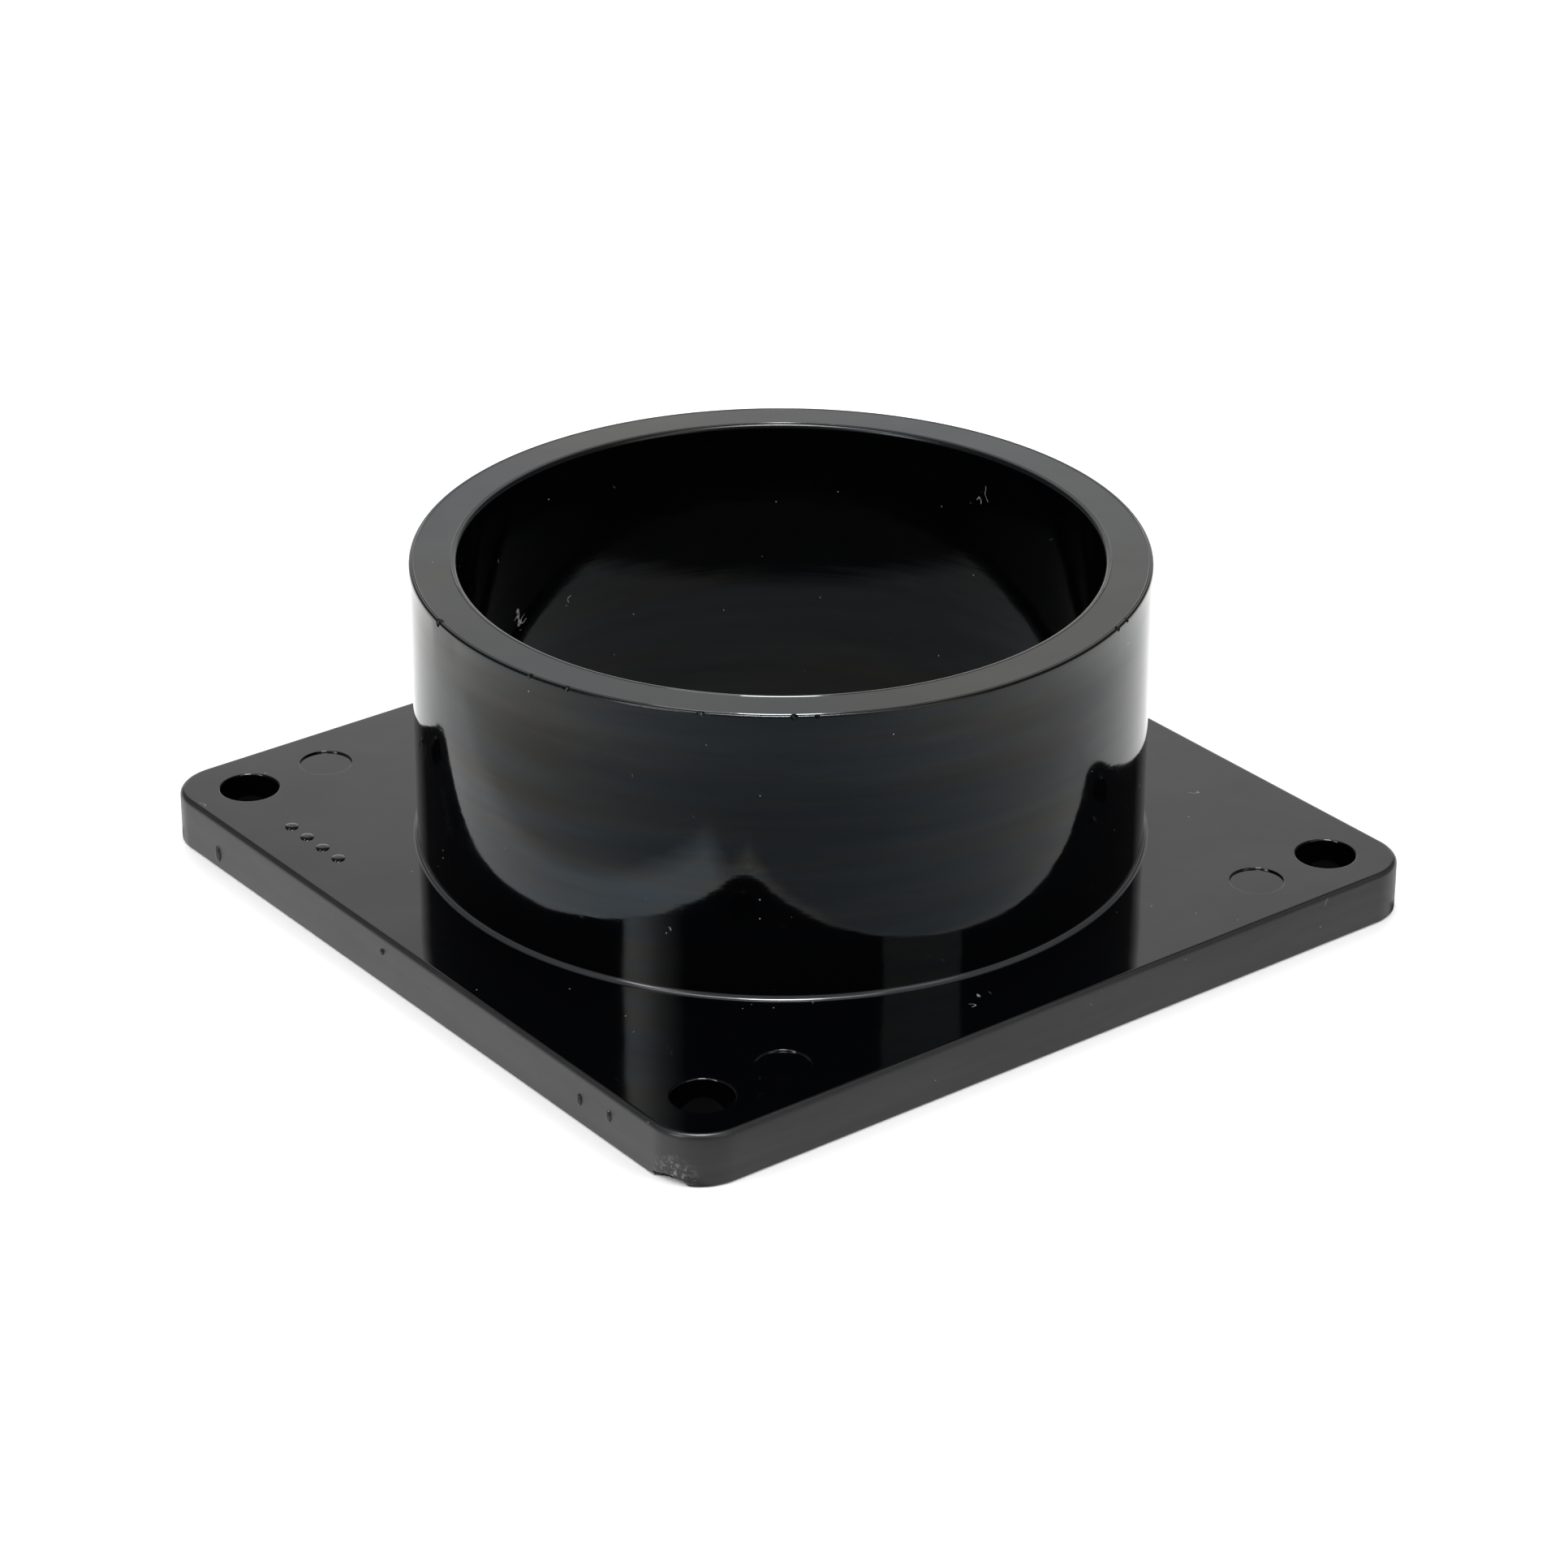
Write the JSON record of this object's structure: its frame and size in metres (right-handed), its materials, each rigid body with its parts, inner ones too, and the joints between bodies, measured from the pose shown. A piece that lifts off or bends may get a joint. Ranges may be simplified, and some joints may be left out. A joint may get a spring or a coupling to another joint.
{
  "type": "slip-hub pipe flange",
  "caption": "Square black plastic flange with a tall round pipe hub, corner bolt holes and a rubber ring let into its underside.",
  "frame": {"origin": "centre of the plate's underside, which is the sealing face, on the hub's axis", "axes": "+Z along the hub's axis, from the underside towards the mouth of the pipe socket; X and Y along the square plate's sides"},
  "size_m": [0.127, 0.127, 0.0494],
  "materials": {
    "abs": "glossy moulded ABS, faint flow marks, small nicks",
    "seal_rubber": "matte moulded rubber"
  },
  "bodies": {
    "root": {"flange_body": "abs", "face_seal": "seal_rubber"}
  },
  "joints": []
}
